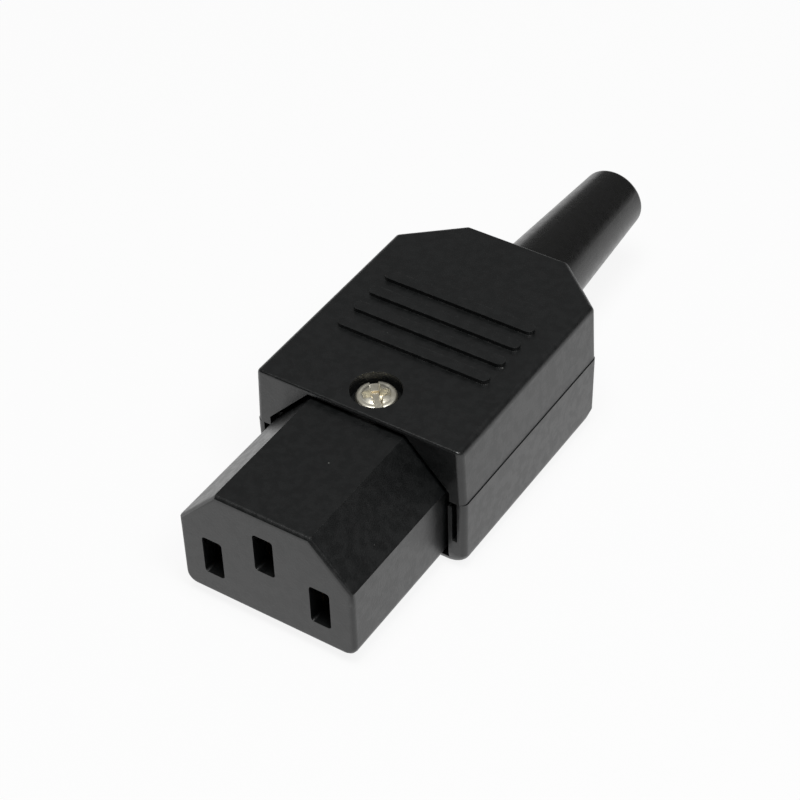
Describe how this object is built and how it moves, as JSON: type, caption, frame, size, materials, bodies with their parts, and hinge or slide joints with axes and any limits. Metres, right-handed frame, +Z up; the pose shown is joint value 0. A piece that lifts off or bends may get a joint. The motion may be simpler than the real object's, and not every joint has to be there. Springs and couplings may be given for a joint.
{
  "type": "c13 power connector",
  "caption": "Rewireable mains cord connector: two-shell housing with grip ribs, bevelled socket nose with upright pin slots, and a tapered strain-relief sleeve.",
  "frame": {"origin": "middle of the outline in plan, on the underside of the housing", "axes": "+Z up out of the housing's roof, -Y out of the socket nose, +Y along the cord, X across the line and neutral pins"},
  "size_m": [0.0278, 0.0768, 0.0182],
  "materials": {
    "housing_plastic": "fine moulded texture, black",
    "socket_plastic": "fine moulded texture, black",
    "contact_brass": "rolled sheet",
    "zinc_steel": "bright zinc plate",
    "clamp_plastic": "moulded, black",
    "sleeve_rubber": "smooth soft rubber, black",
    "plated_screw": "nickel plate, slightly warm"
  },
  "bodies": {
    "root": {"top_shell": "housing_plastic", "bottom_shell": "housing_plastic", "socket_cover": "socket_plastic", "socket_base": "socket_plastic", "line_contact": "contact_brass", "neutral_contact": "contact_brass", "earth_contact": "contact_brass", "line_terminal_screw": "zinc_steel", "neutral_terminal_screw": "zinc_steel", "earth_terminal_screw": "zinc_steel", "line_terminal_washer": "zinc_steel", "neutral_terminal_washer": "zinc_steel", "earth_terminal_washer": "zinc_steel", "line_terminal_nut": "zinc_steel", "neutral_terminal_nut": "zinc_steel", "earth_terminal_nut": "zinc_steel", "cord_clamp_bar": "clamp_plastic", "cord_clamp_screw_left": "zinc_steel", "cord_clamp_screw_right": "zinc_steel", "strain_relief_sleeve": "sleeve_rubber", "cover_screw": "plated_screw", "cover_nut": "zinc_steel"}
  },
  "joints": []
}
